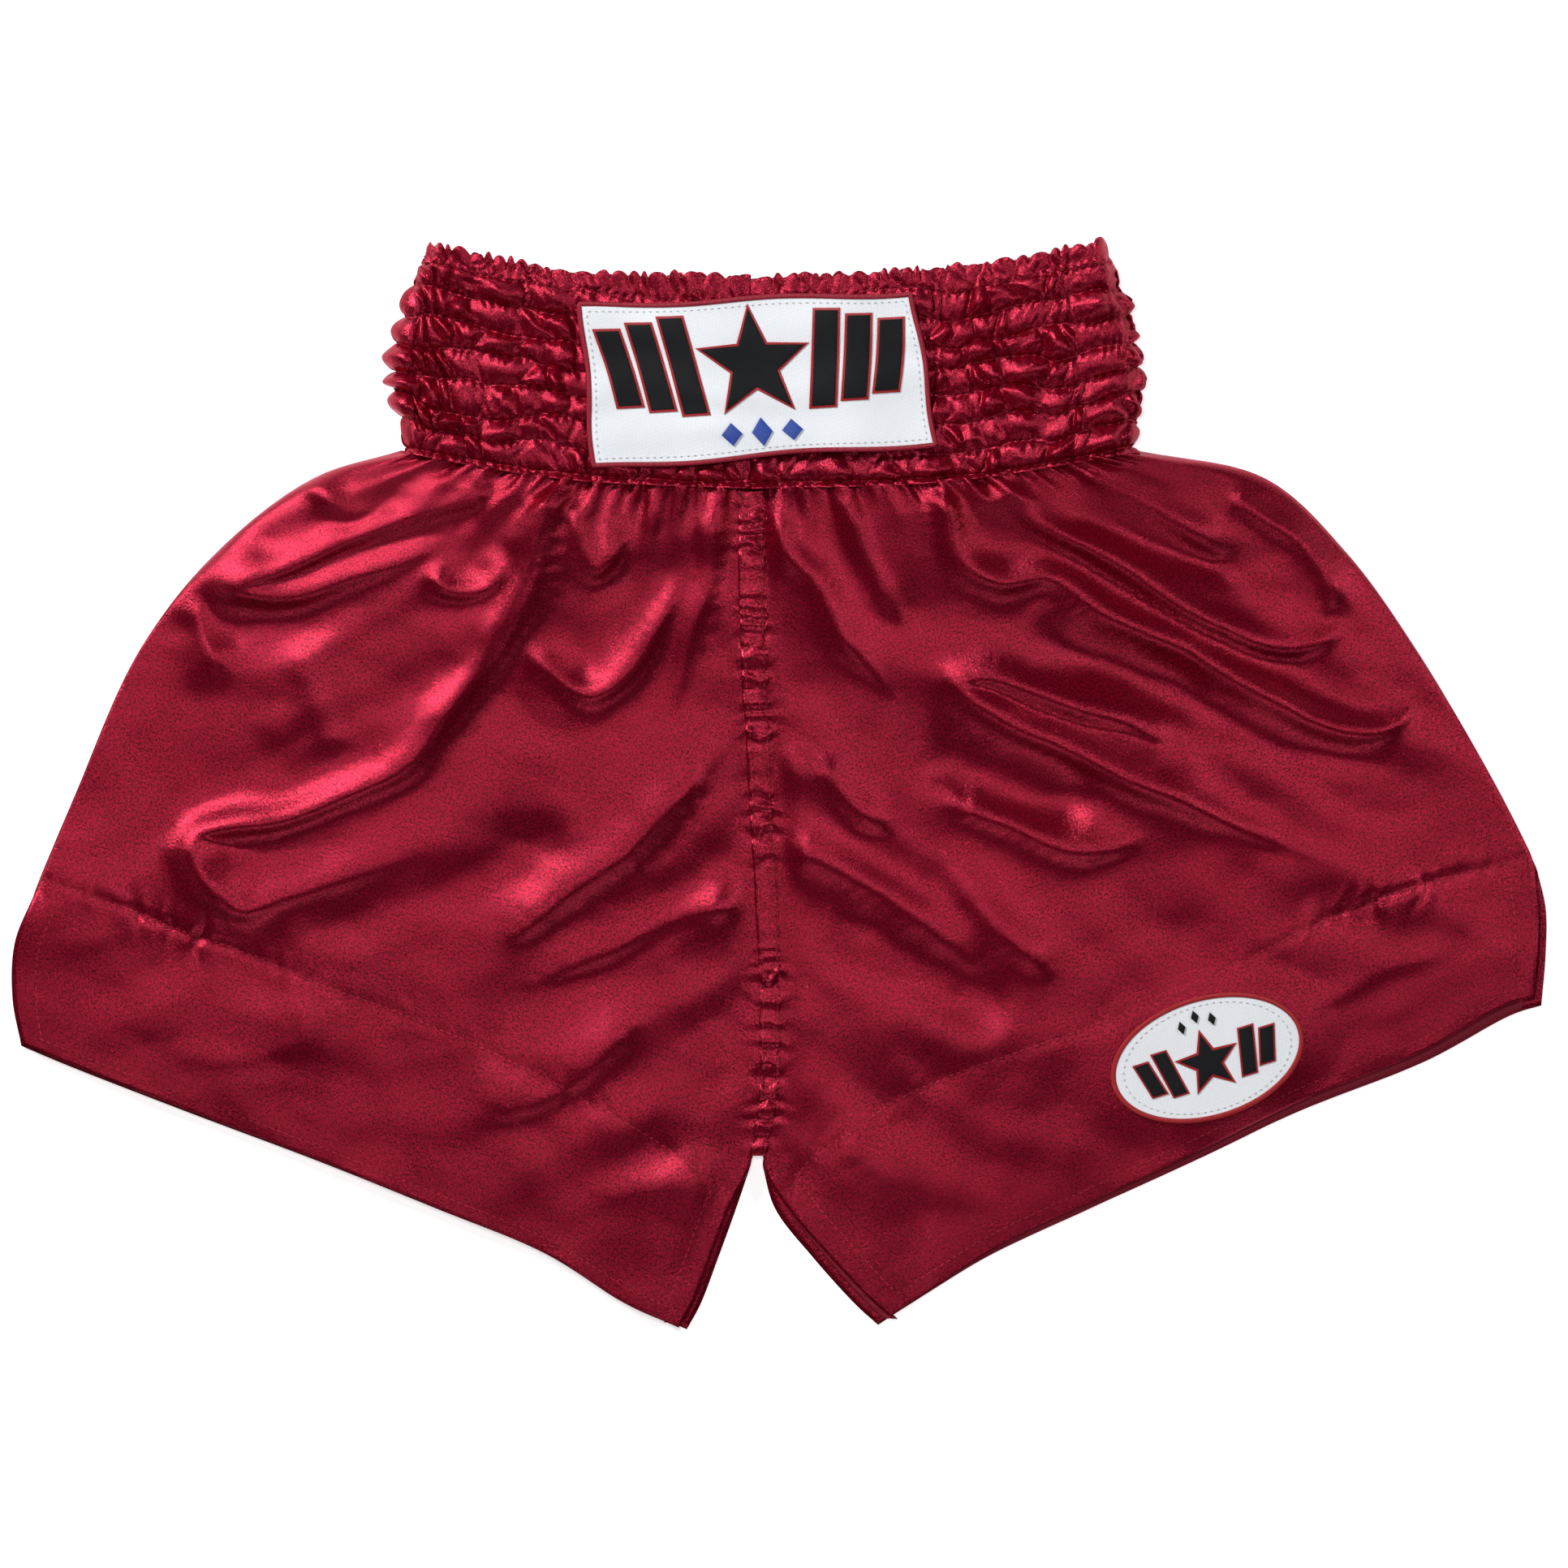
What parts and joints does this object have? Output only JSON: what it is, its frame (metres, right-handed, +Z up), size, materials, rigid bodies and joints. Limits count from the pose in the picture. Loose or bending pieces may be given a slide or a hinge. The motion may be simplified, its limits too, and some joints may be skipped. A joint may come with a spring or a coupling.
{
  "type": "boxing shorts",
  "caption": "Satin boxing shorts with a shirred elastic waistband, wide vented legs and two embroidered badges, lying flat with the front up.",
  "frame": {"origin": "under the middle of the shorts, on the surface that they lie on", "axes": "+X to the wearer's left, +Y from the hems to the waist, +Z up out of the front"},
  "size_m": [0.6826, 0.484, 0.024],
  "materials": {
    "satin": "crimson satin, glossy right side",
    "satin_reverse": "crimson satin, duller reverse side",
    "elastic": "white woven elastic",
    "badge_cloth": "white twill with fill stitching",
    "badge_border": "red overlocked thread",
    "black_embroidery": "black satin-stitch thread with a red edge",
    "blue_embroidery": "blue satin-stitch thread"
  },
  "bodies": {
    "centre": {"centre_back_seam": "satin", "centre_front_seam": "satin", "waist_badge_cloth": "badge_cloth", "waist_badge_border": "badge_border", "waist_badge_star": "black_embroidery", "waist_badge_right_bar_1": "black_embroidery", "waist_badge_right_bar_2": "black_embroidery", "waist_badge_right_bar_3": "black_embroidery", "waist_badge_left_bar_1": "black_embroidery", "waist_badge_left_bar_2": "black_embroidery", "waist_badge_left_bar_3": "black_embroidery", "waist_badge_right_diamond": "blue_embroidery", "waist_badge_middle_diamond": "blue_embroidery", "waist_badge_left_diamond": "blue_embroidery", "elastic_1": "elastic", "elastic_2": "elastic", "elastic_3": "elastic", "elastic_4": "elastic", "elastic_5": "elastic", "elastic_6": "elastic", "elastic_7": "elastic"},
    "right_half": {"right_back_panel": "satin", "right_front_panel": "satin", "right_back_hem_facing": "satin_reverse", "right_front_hem_facing": "satin_reverse", "right_side_seam": "satin_reverse", "right_inseam": "satin_reverse", "right_back_waist_casing": "satin", "right_front_waist_casing": "satin", "right_back_waist_facing": "satin_reverse", "right_front_waist_facing": "satin_reverse"},
    "left_half": {"left_back_panel": "satin", "left_front_panel": "satin", "left_back_hem_facing": "satin_reverse", "left_front_hem_facing": "satin_reverse", "left_side_seam": "satin_reverse", "left_inseam": "satin_reverse", "left_back_waist_casing": "satin", "left_front_waist_casing": "satin", "left_back_waist_facing": "satin_reverse", "left_front_waist_facing": "satin_reverse", "leg_badge_cloth": "badge_cloth", "leg_badge_border": "badge_border", "leg_badge_star": "black_embroidery", "leg_badge_right_bar_1": "black_embroidery", "leg_badge_right_bar_2": "black_embroidery", "leg_badge_left_bar_1": "black_embroidery", "leg_badge_left_bar_2": "black_embroidery", "leg_badge_right_diamond": "black_embroidery", "leg_badge_middle_diamond": "black_embroidery", "leg_badge_left_diamond": "black_embroidery"}
  },
  "joints": [
    {"name": "waist_stretch_right", "type": "slide", "parent": "centre", "child": "right_half", "axis": [-1, 0, 0], "range_m": [0, 0.04], "stiffness_N_per_m": 300, "deforming": ["elastic_1", "elastic_2", "elastic_3", "elastic_4", "elastic_5", "elastic_6", "elastic_7"]},
    {"name": "waist_stretch_left", "type": "slide", "parent": "centre", "child": "left_half", "axis": [1, 0, 0], "range_m": [0, 0.04], "stiffness_N_per_m": 300, "deforming": ["elastic_1", "elastic_2", "elastic_3", "elastic_4", "elastic_5", "elastic_6", "elastic_7"]}
  ],
  "couplings": [
    {"joint": "waist_stretch_left", "follows": "waist_stretch_right", "ratio": 1}
  ]
}
